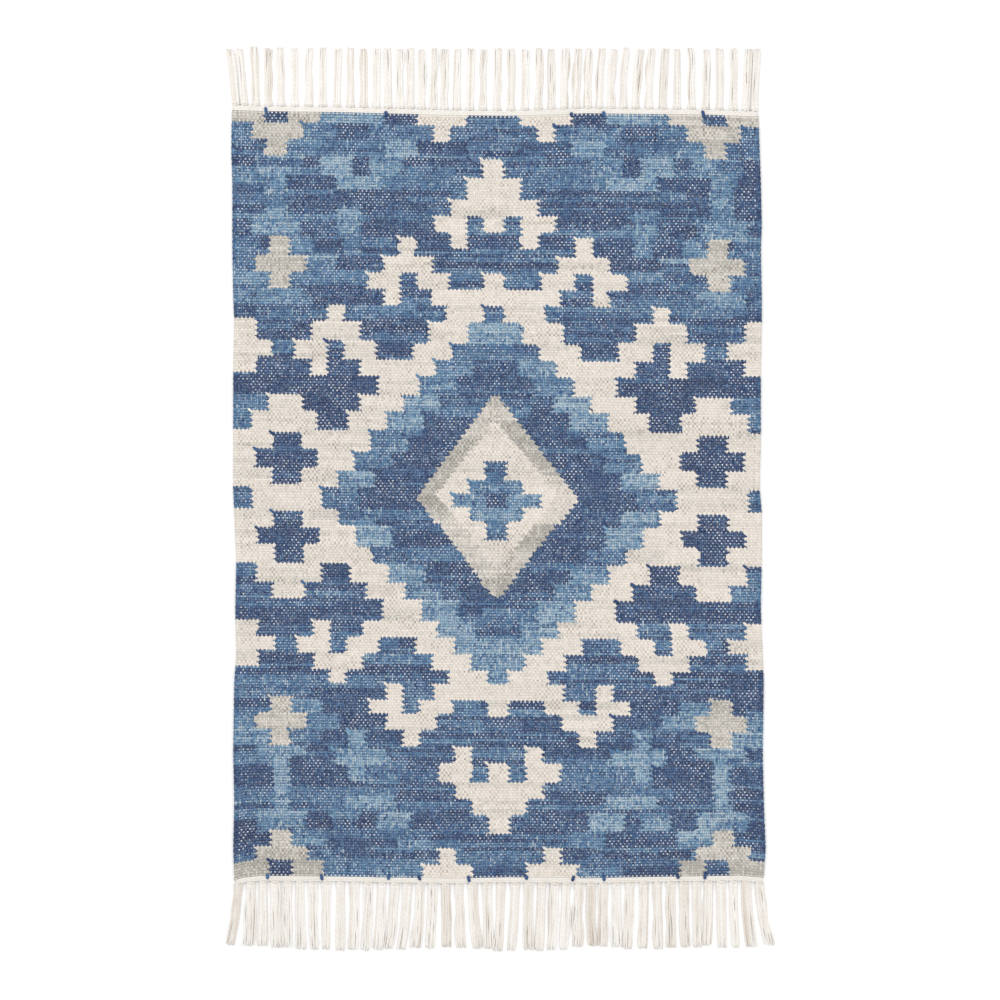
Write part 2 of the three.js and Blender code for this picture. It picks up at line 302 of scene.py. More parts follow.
# Columns: yarn, first pick, last pick, half width in warps.
HEART = (
    ("mid", 127, 134, 5.3), ("soft", 134, 139, 13.3), ("soft", 139, 144, 21.3), ("soft", 144, 149, 13.3),
    ("mid", 149, 156, 5.3), ("dark", 139, 144, 5.3),
)
for yarn, first, last, reach in HEART:
    weave(yarn, first, last, 0, reach)

# The woven cloth.
# One layer of plain weave in thick soft-spun cotton wefts, beaten down until they hide a thinner white warp,
# which shows only as a small dot wherever it passes over a pick. The edges are wefts turned around two warps.
# Columns: y, left edge, right edge.
SELVEDGES = (
    (-429, -300.8, 300.8), (-397, -302, 303), (-343, -300.8, 300.8), (-288, -302, 299.6),
    (-207, -300.8, 300.8), (-179, -298.5, 299.6), (-125, -299.6, 297.4), (-70, -298.5, 298.5),
    (-16, -300.8, 298.5), (11, -302, 296.2), (66, -302, 297.4), (147, -302, 297.4), (202, -300.8, 298.5),
    (229, -302, 298.5), (284, -303, 297.4), (311, -303, 298.5), (360, -303, 297.4), (393, -304.2, 296.2),
    (443, -303.6, 294.5),
)
# Columns: x, far edge, near edge.
LAST_PICKS = (
    (-302, 441.5, -433.4), (-290, 441, -429.6), (-270, 440.2, -427.6), (-180, 439, -428.4),
    (-110, 437.2, -429.8), (-50, 435.6, -430.6), (12, 434.8, -429.2), (100, 437.8, -430.4),
    (160, 437, -429), (228, 436.4, -428), (275, 434.8, -427.4), (300, 434, -429.8),
)
WARP_PITCH = 2.36
PICK_HEIGHT = 3.087
FIRST_PICK_Y = 434.9
PICK_TILT = -0.00915
TILT_PIVOT = 2.3
END_DRIFT_PICKS = 60
MIDDLE_WARP_X = -3.8
MIDDLE_WARP_LEAN = 0.0092
LEAST_JOIN = 0.08
DEEPEST_TOOTH = 3
TOOTH_FATNESS = 1.5
TOOTH_DROOP = 0.35
# The top of the weave, its rise and fall, and how its rims are drawn in.
CLOTH_TOP = 4.0
WEFT_RISE = 0.32
UNEVEN_RISE = 0.06
EDGE_HEIGHT = 1.9
EDGE_WAVE = 0.12
EDGE_TURN = 0.45
BESIDE_EDGE = 0.55
END_HEIGHT = 3.3
END_RIM = 0.02
# The back is a coarser mesh, just off the floor.
BACK_STRIDE = 2
BACK_RISE = 0.45
BACK_RIM = 0.1


def read_across(rows, at, column):
    """Reads a column of a table between its rows, whose first column rises."""
    for low, high in zip(rows, rows[1:]):
        if at <= high[0] or high is rows[-1]:
            share = min(1, max(0, (at - low[0]) / (high[0] - low[0])))
            return low[column] + (high[column] - low[column]) * share


def beat_in(warp, pick):
    """Where a warp and a pick cross on the finished cloth, in millimetres."""
    x = warp * WARP_PITCH
    for _ in range(2):
        base = FIRST_PICK_Y - PICK_HEIGHT * pick + PICK_TILT * (x + TILT_PIVOT)
        far = read_across(LAST_PICKS, x, 1) - (FIRST_PICK_Y + PICK_TILT * (x + TILT_PIVOT))
        last = FIRST_PICK_Y - PICK_HEIGHT * PICKS + PICK_TILT * (x + TILT_PIVOT)
        near = read_across(LAST_PICKS, x, 2) - last
        far_share = max(0, 1 - pick / END_DRIFT_PICKS)
        near_share = max(0, 1 - (PICKS - pick) / END_DRIFT_PICKS)
        y = base + far * far_share + near * near_share
        middle = MIDDLE_WARP_X - y * MIDDLE_WARP_LEAN
        if warp < 0:
            x = middle + warp * (middle - read_across(SELVEDGES, y, 1)) / WARPS_LEFT
        else:
            x = middle + warp * (read_across(SELVEDGES, y, 2) - middle) / WARPS_RIGHT
    return x, y


def shape_teeth(above, below):
    """How far the seam between two picks leaves its own line, at both ends of each span, in picks.

    A tooth that points right is fat and droops. The one that points left between two of them is thin.
    """
    dyes = [[YARNS[yarn]["dye"] for yarn in laid[pick]] for pick in (above, below)]
    apart = [abs(upper - lower) >= LEAST_JOIN for upper, lower in zip(*dyes)]
    seams = [(0.0, 0.0)] * SPANS
    start = 0
    while start < SPANS:
        stop = start
        while stop < SPANS and apart[stop]:
            stop += 1
        depth = stop - start
        if 0 < depth <= DEEPEST_TOOTH and start > 0 and stop < SPANS:
            way = 1 if abs(dyes[0][start] - dyes[0][start - 1]) < LEAST_JOIN else -1
            for k in range(depth):
                seams[start + k] = tuple(
                    way * (0.5 - u ** TOOTH_FATNESS) + TOOTH_DROOP * u for u in (k / depth, (k + 1) / depth)
                )
        start = stop + 1
    return seams


def make_cloth():
    """The closed mesh of the cloth.

    Its top has a vertex at every crossing of warp and pick, and its back has one at every second.
    """
    points, weave_at, faces, above, below, joins = [], [], [], [], [], []

    def put(warp, pick, height, back=0):
        x, y = beat_in(warp, pick)
        points.append(lay_down(x, y, height))
        weave_at.append((warp, pick, back))
        return len(points) - 1

    left_rim = [-WARPS_LEFT, -WARPS_LEFT + EDGE_TURN]
    right_rim = [WARPS_RIGHT - EDGE_TURN, WARPS_RIGHT]
    warps = left_rim + list(range(-WARPS_LEFT + 1, WARPS_RIGHT)) + right_rim
    picks = [END_RIM] + [pick + 0.5 for pick in range(PICKS)] + [PICKS - END_RIM]
    top = []
    for row, pick in enumerate(picks):
        line = []
        for column, warp in enumerate(warps):
            over = 1 if (round(warp) + int(pick)) % 2 else -1
            unevenness = weaver.uniform(-UNEVEN_RISE, UNEVEN_RISE)
            height = CLOTH_TOP - WEFT_RISE + over * WEFT_RISE + unevenness
            if column in (0, len(warps) - 1):
                warp += math.copysign(EDGE_WAVE, warp) * (over - 1)
                height = EDGE_HEIGHT
            elif column in (1, len(warps) - 2):
                height = CLOTH_TOP - BESIDE_EDGE
            elif row in (0, len(picks) - 1):
                height = END_HEIGHT
            line.append(put(warp, pick, height))
        top.append(line)
    for row, (upper, lower) in enumerate(zip(top, top[1:])):
        pick_above, pick_below = max(0, row - 1), min(PICKS - 1, row)
        seams = shape_teeth(pick_above, pick_below)
        for column in range(len(warps) - 1):
            span = min(SPANS - 1, max(0, column - 1))
            faces.append((lower[column], lower[column + 1], upper[column + 1], upper[column]))
            above.append(chart[pick_above][span])
            below.append(chart[pick_below][span])
            left, right = seams[span]
            joins.append((left, right, right, left))

    back_warps = list(range(-WARPS_LEFT + 1, WARPS_RIGHT - 1, BACK_STRIDE)) + [WARPS_RIGHT - 1]
    back_picks = list(range(0, PICKS + 1, BACK_STRIDE))
    under = []
    for row, pick in enumerate(back_picks):
        pick = min(PICKS - BACK_RIM, max(BACK_RIM, pick))
        under.append([
            put(warp, pick, BACK_RISE * ((row + column) % 2), 1) for column, warp in enumerate(back_warps)
        ])
    for row, (upper, lower) in enumerate(zip(under, under[1:])):
        for column in range(len(back_warps) - 1):
            span = min(SPANS - 1, back_warps[column] + WARPS_LEFT)
            faces.append((upper[column], upper[column + 1], lower[column + 1], lower[column]))
            above.append(chart[row * BACK_STRIDE][span])
            below.append(chart[row * BACK_STRIDE][span])
            joins.append((0, 0, 0, 0))

    def close_edge(rim, seam, way, axis, outward):
        """Joins the rim of the top to that of the back, always by the shorter next side."""
        i = j = 0
        while i < len(rim) - 1 or j < len(seam) - 1:
            onward = j == len(seam) - 1 or (
                i < len(rim) - 1 and way * points[rim[i + 1]][axis] < way * points[seam[j + 1]][axis]
            )
            third = rim[i + 1] if onward else seam[j + 1]
            corners = (rim[i], seam[j], third)
            faces.append(corners if outward else corners[::-1])
            warp, pick, _ = weave_at[rim[i]]
            dye = chart[min(PICKS - 1, int(pick))][min(SPANS - 1, max(0, int(warp) + WARPS_LEFT))]
            above.append(dye)
            below.append(dye)
            joins.append((0, 0, 0))
            i, j = (i + 1, j) if onward else (i, j + 1)

    close_edge([line[0] for line in top], [line[0] for line in under], -1, 1, True)
    close_edge([line[-1] for line in top], [line[-1] for line in under], -1, 1, False)
    close_edge(top[0], under[0], 1, 0, False)
    close_edge(top[-1], under[-1], 1, 0, True)

    mesh = bpy.data.meshes.new("cloth")
    mesh.from_pydata(points, [], faces)
    mesh.attributes.new("weave", "FLOAT_VECTOR", "POINT").data.foreach_set(
        "vector", [number for spot in weave_at for number in spot]
    )
    mesh.attributes.new("dye_above", "FLOAT", "FACE").data.foreach_set("value", above)
    mesh.attributes.new("dye_below", "FLOAT", "FACE").data.foreach_set("value", below)
    mesh.attributes.new("join", "FLOAT", "CORNER").data.foreach_set(
        "value", [lean for corners in joins for lean in corners]
    )
    lay_out_sheet(mesh, (len(picks) - 1) * (len(warps) - 1))
    mesh.polygons.foreach_set("use_smooth", [True] * len(mesh.polygons))
    mesh.update()
    return mesh


SHEET_MARGIN = 0.004
SHEET_SLACK = 0.01


def lay_out_sheet(mesh, faces_above):
    """Lays the two sides of the cloth next to each other on the sheet that a finish is baked on."""
    low_x, low_y = field_low.x - SHEET_MARGIN, field_low.y - SHEET_MARGIN
    long_side = 2 * (field_high.x - field_low.x + SHEET_SLACK)
    flat = []
    for face in mesh.polygons:
        beside = 0 if face.index < faces_above else 0.5
        for corner in face.vertices:
            x, y, _ = mesh.vertices[corner].co
            flat += [beside + (x - low_x) / long_side, (y - low_y) / long_side]
    mesh.uv_layers.new(name="OFBake").data.foreach_set("uv", flat)


def dyed(code):
    """A colour written as six hexadecimal digits, as the light that a material works with."""
    parts = [int(code[i:i + 2], 16) / 255 for i in (0, 2, 4)]
    return tuple(p / 12.92 if p <= 0.04045 else ((p + 0.055) / 1.055) ** 2.4 for p in parts) + (1.0,)


COTTON_ROUGHNESS = 0.95
COTTON_SPECULAR = 0.2


class Bench:
    """Places and links the nodes of one material."""

    def __init__(self, name):
        self.material = bpy.data.materials.new(name)
        self.material.use_nodes = True
        self.tree = self.material.node_tree
        self.shader = self.tree.nodes["Principled BSDF"]

    def feed(self, socket, value):
        """Links a result to a socket, or sets the socket to a plain value."""
        if isinstance(value, bpy.types.NodeSocket):
            self.tree.links.new(value, socket)
        else:
            socket.default_value = value

    def node(self, kind, inputs=(), **settings):
        made = self.tree.nodes.new(kind)
        for key, value in settings.items():
            setattr(made, key, value)
        for key, value in dict(inputs).items():
            self.feed(made.inputs[key], value)
        return made

    def work(self, operation, *values):
        """The result of one step of arithmetic."""
        return self.node("ShaderNodeMath", dict(enumerate(values)), operation=operation).outputs[0]

    def plus(self, first, second):
        return self.work("ADD", first, second)

    def minus(self, first, second):
        return self.work("SUBTRACT", first, second)

    def times(self, first, second):
        return self.work("MULTIPLY", first, second)

    def run(self, value, start, stop, low=0.0, high=1.0):
        """Runs from one number to another while a value goes from its start to its stop."""
        inputs = {"Value": value, "From Min": start, "From Max": stop, "To Min": low, "To Max": high}
        return self.node("ShaderNodeMapRange", inputs).outputs[0]

    def place(self, *axes):
        """A point made of its coordinates."""
        return self.node("ShaderNodeCombineXYZ", dict(enumerate(axes))).outputs[0]

    def noise(self, place, scale, detail):
        return self.node("ShaderNodeTexNoise", {"Vector": place, "Scale": scale, "Detail": detail}).outputs[0]

    def reading(self, name, output="Fac"):
        return self.node("ShaderNodeAttribute", attribute_name=name).outputs[output]

    def blend(self, share, first, second, kind="MIX"):
        """Mixes two colours."""
        made = self.node("ShaderNodeMix", data_type="RGBA", blend_type=kind)
        self.feed(made.inputs["Factor"], share)
        for socket, value in zip([s for s in made.inputs if s.type == "RGBA"], (first, second)):
            self.feed(socket, value)
        return [s for s in made.outputs if s.type == "RGBA"][0]

    def ramp(self, share, stops):
        """A colour read off a scale of stops."""
        made = self.node("ShaderNodeValToRGB", {0: share})
        scale = made.color_ramp.elements
        while len(scale) < len(stops):
            scale.new(1.0)
        for element, (place, code) in zip(scale, stops):
            element.position = place
            element.color = dyed(code)
        return made.outputs[0]

    def finish(self, colour, relief, strength, distance, sheen=0.0):
        """Gives dull cotton its colour, its relief and its sheen."""
        bump = self.node("ShaderNodeBump", {"Height": relief, "Strength": strength, "Distance": distance})
        self.feed(self.shader.inputs["Base Color"], colour)
        self.feed(self.shader.inputs["Normal"], bump.outputs[0])
        self.feed(self.shader.inputs["Roughness"], COTTON_ROUGHNESS)
        self.feed(self.shader.inputs["Specular IOR Level"], COTTON_SPECULAR)
        self.feed(self.shader.inputs["Sheen Weight"], sheen)
        return self.material


# Columns: place on the dye scale, colour.
DYE_SCALE = (
    (0.0, "314368"), (0.12, "3d5681"), (0.2, "43658f"), (0.33, "4e769d"), (0.44, "668fae"), (0.54, "88a9bf"),
    (0.66, "b5c8d2"), (0.7, "c8d1d5"), (0.72, "aeaba4"), (0.79, "d2cfc8"), (0.86, "ddd9d1"), (0.92, "e4dcd3"),
    (1.0, "f1eae2"),
)
# The same for the shade between the yarns.
SHADE_SCALE = (
    (0.0, "182239"), (0.2, "202c47"), (0.4, "293b5a"), (0.6, "3f5873"), (0.7, "6f8494"), (0.72, "7b766e"),
    (0.82, "958c81"), (0.92, "b3a596"), (1.0, "bfb1a3"),
)
LINT_WHITE = "cdd3d8"
WARP_WHITE = "dfe2e8"
WARP_ENDS = "efe6dc"
# Dyes below the first of these are blue. The others bound how far a blue and an undyed yarn stray.
BLUE_BELOW = 0.7
PALEST_BLUE = 0.68
DEEPEST_UNDYED = 0.724
# How far a yarn strays along the scale in its slubs, in its flecks and from stitch to stitch.
BLUE_STRAYS = (0.36, 0.8, 0.3)
UNDYED_STRAYS = (0.12, 0.34, 0.1)
# Half the width of a warp's dot, and how much narrower it is in blue.
DOT_REACH = 0.46
DOT_REACH_LOST = 0.1
FLAT_SEAM = 0.08
PLY_TURN = 6.283


def make_cloth_finish():
    """Weft yarns in their dyes, white dots of warp, and the shade between the yarns."""
    bench = Bench("woven_cotton")
    work, plus, minus, times = bench.work, bench.plus, bench.minus, bench.times
    warp, pick_line, back = bench.node("ShaderNodeSeparateXYZ", {0: bench.reading("weave", "Vector")}).outputs
    # Which of two picks shows: each one bulges where it runs over a warp, and narrows in a tooth at a join.
    seam = work("ROUND", pick_line)
    swing = work("COSINE", times(plus(warp, plus(seam, back)), math.pi))
    join = bench.reading("join")
    bulge = bench.run(work("ABSOLUTE", join), 0.0, 0.3, 0.25, 0.06)
    past_seam = work("GREATER_THAN", pick_line, plus(seam, plus(times(swing, bulge), join)))
    pick = plus(minus(seam, 1), past_seam)
    dye_above = bench.reading("dye_above")
    dye = plus(dye_above, times(minus(bench.reading("dye_below"), dye_above), past_seam))
    across = minus(pick_line, plus(pick, 0.5))
    under = work("COSINE", times(plus(warp, plus(pick, back)), math.pi))
    blue = work("LESS_THAN", dye, BLUE_BELOW)
    undyed = minus(1.0, blue)
    # Soft-spun yarn takes the dye unevenly, in long slubs and in short flecks.
    row = times(pick, 7.31)
    slub = bench.noise(bench.place(times(warp, 0.3), row, across), 1.0, 2.0)
    fleck = bench.noise(bench.place(times(warp, 1.5), row, times(across, 3.0)), 1.3, 2.0)
    stitch = bench.place(work("ROUND", warp), pick, back)
    dice = bench.node("ShaderNodeTexWhiteNoise", {"Vector": stitch}, noise_dimensions="3D")
    chances = bench.node("ShaderNodeSeparateXYZ", {0: dice.outputs[1]}).outputs
    odd = work("POWER", minus(times(dice.outputs[0], 2.0), 1.0), 3)

    def stray(slubs, flecks, odds):
        by_fleck = times(minus(fleck, 0.5), flecks)
        return plus(times(minus(slub, 0.5), slubs), plus(by_fleck, times(odd, odds)))

    blue_stray, undyed_stray = stray(*BLUE_STRAYS), stray(*UNDYED_STRAYS)
    dye = plus(dye, plus(undyed_stray, times(minus(blue_stray, undyed_stray), blue)))
    dye = work("MINIMUM", dye, plus(undyed, PALEST_BLUE))
    dye = work("MAXIMUM", dye, times(undyed, DEEPEST_UNDYED))
    colour = bench.ramp(dye, DYE_SCALE)
    # The shade between warps and between picks, deeper at some crossings than at others.
    rib = plus(0.5, times(work("COSINE", times(warp, 2 * math.pi)), 0.5))
    crown = work("COSINE", times(across, math.pi))
    between = times(minus(1.0, rib), times(work("POWER", chances[0], 1.6), 0.85))
    beside = times(minus(1.0, crown), plus(0.08, times(chances[1], 0.85)))
    hollow = times(work("MINIMUM", plus(between, beside), 1.0), bench.run(dye, 0.66, 0.9, 0.95, 0.55))
    shade = bench.ramp(dye, SHADE_SCALE)
    colour = bench.blend(hollow, colour, shade)
    # White fibres are carded in with the blue.
    lint = bench.noise(bench.place(times(warp, 0.9), times(pick, 3.77), times(across, 2.2)), 2.1, 1.0)
    colour = bench.blend(times(bench.run(lint, 0.57, 0.73, 0.0, 0.55), blue), colour, dyed(LINT_WHITE))
    # The warp's dots: ovals at every second crossing of each pick, but not at a join or in a selvedge.
    aside = minus(warp, work("ROUND", warp))
    wide = minus(DOT_REACH, times(blue, DOT_REACH_LOST))
    oval = plus(work("POWER", work("DIVIDE", aside, wide), 2), work("POWER", work("DIVIDE", across, wide), 2))
    dot = times(bench.run(oval, 1.2, 0.5), work("GREATER_THAN", under, 0.0))
    dot = times(dot, work("LESS_THAN", work("ABSOLUTE", join), FLAT_SEAM))
    dot = times(dot, work("LESS_THAN", work("ABSOLUTE", plus(warp, 1.5)), 124.2))
    # They stand out in dark stretches and where the weft is slack. Between pale wefts they are painted as
    # dull specks of shade, where the weft dips round the warp.
    zone = bench.noise(bench.place(times(warp, 0.07), times(pick, 0.11)), 1.0, 2.0)
    slack = bench.run(zone, 0.38, 0.62, 0.2, 1.25)
    strength = bench.run(chances[2], 0.05, 1.0, 0.0, 1.1)
    depth = plus(bench.run(dye, 0.1, 0.4, 1.0, 0.6), times(undyed, 0.35))
    showing = work("MINIMUM", times(times(strength, slack), depth), 1.0)
    # In blue the dots take the warp's white. Between undyed wefts they take the painted shade colour.
    warp_white_and_speck_shade = bench.blend(blue, shade, dyed(WARP_WHITE))
    colour = bench.blend(times(dot, showing), colour, warp_white_and_speck_shade)
    # The warps show white between the wefts of the first and last pick.
    end = work("MINIMUM", pick_line, minus(PICKS, pick_line))
    comb = times(times(bench.run(end, 0.8, 0.45), bench.run(under, 0.25, 0.6)), minus(1.0, back))
    colour = bench.blend(comb, colour, dyed(WARP_ENDS))
    twist = work("SINE", times(plus(times(warp, 1.7), times(across, 2.6)), PLY_TURN))
    height = plus(times(crown, minus(0.6, times(under, 0.25))), times(rib, 0.25))
    relief = plus(plus(height, times(dot, 0.35)), times(twist, 0.05))
    return bench.finish(colour, relief, 0.5, 0.0009, 0.08)


def put_out(name, mesh, material):
    """Makes a piece of the rug from its mesh and its finish."""
    piece = bpy.data.objects.new(name, mesh)
    bpy.context.scene.collection.objects.link(piece)
    mesh.materials.append(material)
    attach(piece, "root")
    return piece


cloth = put_out("woven_cloth", make_cloth(), make_cloth_finish())
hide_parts("woven_field")

# The headings.
# Past the last coloured pick the weaver lays three picks of undyed cotton as thick as the wefts.
# They hold the cloth until its warps are knotted, and show as a narrow cream band at each end.
HEADING_ROWS = (0.7, 2.6, 4.5)
HEADING_YARN = 1.2
HEADING_SIDES = 6
HEADING_Z = 2.3
HEADING_RISE = 0.4
HEADING_WAVE = 0.12
HEADING_TURNS = 95
HEADING_LOBES = 0.05
LEAST_HEIGHT = 0.02


class Skein:
    """Gathers yarns into one mesh, with each yarn's ply and tint kept for its finish."""

    def __init__(self):
        self.points, self.faces, self.ply, self.tint = [], [], [], []

    def spin(self, path, radius, turns, tint, sides, lobes, taper=0.0):
        """A plied yarn along a path: two strands twisted round each other, closed at both ends."""
        count = len(path)
        first = len(self.points)
        for i, (x, y, z) in enumerate(path):
            before, after = path[max(0, i - 1)], path[min(count - 1, i + 1)]
            ahead = [b - a for a, b in zip(before, after)]
            length = math.sqrt(sum(c * c for c in ahead)) or 1
            ahead = [c / length for c in ahead]
            level = math.hypot(ahead[0], ahead[1]) or 1
            side = (ahead[1] / level, -ahead[0] / level, 0)
            up = (side[1] * ahead[2], -side[0] * ahead[2], side[0] * ahead[1] - side[1] * ahead[0])
            roll = 2 * math.pi * turns * i / (count - 1)
            for k in range(sides):
                angle = 2 * math.pi * k / sides
                lobe = math.cos(2 * (angle - roll))
                thinning = taper * max(0, i / (count - 1) - 0.9) * 10
                reach = radius * (1 + lobes * lobe) * (1 - thinning)
                a, b = reach * math.cos(angle), reach * math.sin(angle)
                off_floor = max(LEAST_HEIGHT, z + up[2] * b)
                off_x, off_y = side[0] * a + up[0] * b, side[1] * a + up[1] * b
                self.points.append(lay_down(x + off_x, y + off_y, off_floor))
                self.ply.append(lobe)
                self.tint.append(tint)
        for i in range(count - 1):
            for k in range(sides):
                a, b = first + i * sides + k, first + i * sides + (k + 1) % sides
                self.faces.append((a, b, b + sides, a + sides))
        self.faces.append(tuple(first + k for k in reversed(range(sides))))
        self.faces.append(tuple(first + (count - 1) * sides + k for k in range(sides)))

    def mesh(self, name):
        made = bpy.data.meshes.new(name)
        made.from_pydata(self.points, [], self.faces)
        made.attributes.new("ply", "FLOAT", "POINT").data.foreach_set("value", self.ply)
        made.attributes.new("tint", "FLOAT", "POINT").data.foreach_set("value", self.tint)
        made.polygons.foreach_set("use_smooth", [True] * len(made.polygons))
        made.update()
        return made


# The lightest and the deepest tint of a yarn, and the painted shade that darkens the groove between its
# strands.
YARN_TINTS = ((0.0, "f3f1ed"), (1.0, "d8cec3"))
YARN_GROOVE_SHADE = "f1ece4"


def make_yarn_finish():
    """Plied cotton: painted shade darkens it between the strands, with a tint that differs from yarn to yarn.
    """
    bench = Bench("undyed_cotton")
    place = bench.node("ShaderNodeNewGeometry").outputs["Position"]
    fibre, cloudy = bench.noise(place, 900.0, 3.0), bench.noise(place, 60.0, 2.0)
    tint = bench.plus(bench.reading("tint"), bench.times(bench.minus(cloudy, 0.5), 0.5))
    # Painted shade: the colour is darkened where the ply's two strands meet.
    painted_groove_shade = bench.run(bench.reading("ply"), 0.3, -0.6, 0.0, 0.4)
    colour = bench.blend(painted_groove_shade, bench.ramp(tint, YARN_TINTS), dyed(YARN_GROOVE_SHADE), "MULTIPLY")
    return bench.finish(colour, fibre, 0.35, 0.0003, 0.1)


undyed_cotton = make_yarn_finish()


def weave_heading(name, column, out):
    """Three undyed picks laid over and under every warp."""
    skein = Skein()
    for row, away in enumerate(HEADING_ROWS):
        path = []
        for half in range(2 * (SPANS - 2) + 1):
            warp = -WARPS_LEFT + 1 + half / 2
            x, _ = beat_in(warp, 0 if out > 0 else PICKS)
            y = read_across(LAST_PICKS, x, column) + out * away
            swing = math.cos(math.pi * (warp + row))
            path.append((x, y + out * HEADING_WAVE * swing, HEADING_Z + HEADING_RISE * swing))
        tint = weaver.uniform(0.1, 0.4)
        skein.spin(path, HEADING_YARN, HEADING_TURNS, tint, HEADING_SIDES, HEADING_LOBES)
    return put_out(name, skein.mesh(name), undyed_cotton)


heading_far = weave_heading("heading_far", 1, 1)
heading_near = weave_heading("heading_near", 2, -1)

# The tassels.
# Seven to nine plied warp ends at a time are knotted against the heading and cut off straight.
# The far ones lie neat and apart. The near ones lie looser, and some of their yarns cross.
# A drift is a slow wave along the row: its reach, its turn from one tassel to the next and its start.
FAR_ROW = {"count": 42, "first": -303.4, "pitch": 14.45, "drifts": ((3.7, 0.436, -3.06), (2.2, 0.174, 0.53))}
NEAR_ROW = {"count": 41, "first": -297.6, "pitch": 14.9, "drifts": ((1.8, 0.552, 1.85), (1.6, 0.214, 3.02))}
# Columns: x, how far the tip leans to the right, how far out it is cut, how far it bows.
FAR_LIE = (
    (-300, -7.5, 511, 0.6), (-280, -2.5, 513.4, 0.2), (-200, 1.5, 512.4, -0.3), (-120, -0.8, 512, 0.4),
    (-60, 1.8, 511.6, -0.3), (40, 0.6, 511.8, 0.5), (90, 2.4, 512, -0.6), (165, 5, 511.8, -1.2),
    (205, 0, 511.6, 0.4), (275, 1, 511.8, 0.4), (292, 5.5, 510.6, -0.6),
)
NEAR_LIE = (
    (-295, -10, -506.4, 1.2), (-278, -1, -507.5, 0.4), (-215, 1.6, -512, -0.6), (-160, -2, -512.8, 0.6),
    (-105, -8, -511.4, 1.6), (-60, 0, -509.5, 0.3), (-28, 5, -510.6, -1.2), (16, -6.5, -513.8, 1.4),
    (34, 0, -512.6, -0.6), (63, -4.5, -513, 0.9), (105, 1, -507.4, -0.8), (160, -2.5, -511.6, 0.6),
    (190, 2.5, -510.4, -0.5), (240, -1, -507.6, 0.3), (268, 4, -510.4, -0.8), (296, 10.5, -506.8, -1.6),
)
HEADING_WIDTH = 6.5
KNOT_SEAT = 0.3
ROW_END_Y = 430
ROW_INSET = 5
KNOT_RADIUS = 0.95
KNOT_STEPS = 12
KNOT_TURN_APART = 1.5
YARN_RADIUS = 1.12
YARN_RISE = 0.45
YARN_POINTS = 34
SETTLED = 0.16
YARN_TURNS = 6
YARN_SIDES = 6
TIP_STRAY = 0.75
KNOT_PULL = 0.14


def wave(count, reach, turn, start):
    """A slow drift from one tassel to the next."""
    return reach * math.sin(turn * count + start)


def place_tassels(row, lie, column, out):
    """Root, tip and bow of each tassel along one end."""
    placed = []
    left = read_across(SELVEDGES, out * ROW_END_Y, 1) + ROW_INSET
    right = read_across(SELVEDGES, out * ROW_END_Y, 2) - ROW_INSET
    for i in range(row["count"]):
        x = row["first"] + row["pitch"] * i + sum(wave(i, *drift) for drift in row["drifts"])
        x = min(right, max(left, x))
        placed.append({
            "x": x,
            "root": read_across(LAST_PICKS, x, column) + out * (HEADING_WIDTH + KNOT_SEAT),
            "tip_x": x + read_across(lie, x, 1) + wave(i, 0.9, 2.4, 0.7),
            "tip": read_across(lie, x, 2) + wave(i, 0.8, 3.7, 0),
            "bow": read_across(lie, x, 3),
        })
    return placed


def tie_knot(skein, tassel, out, width):
    """Two turns of yarn round the root of a tassel, drawn tight against the heading."""
    for turn in range(2):
        path = []
        for step in range(KNOT_STEPS + 1):
            angle = 2 * math.pi * step / KNOT_STEPS + turn
            path.append((
                tassel["x"] + width * (0.42 - 0.04 * turn) * math.cos(angle),
                tassel["root"] + out * (KNOT_TURN_APART * turn - 1.0 + 0.9 * math.sin(angle + 0.6)),
                HEADING_Z - 0.1 + 1.1 * math.sin(angle),
            ))
        skein.spin(path, KNOT_RADIUS, 2, weaver.uniform(0.2, 0.6), 5, 0.08)


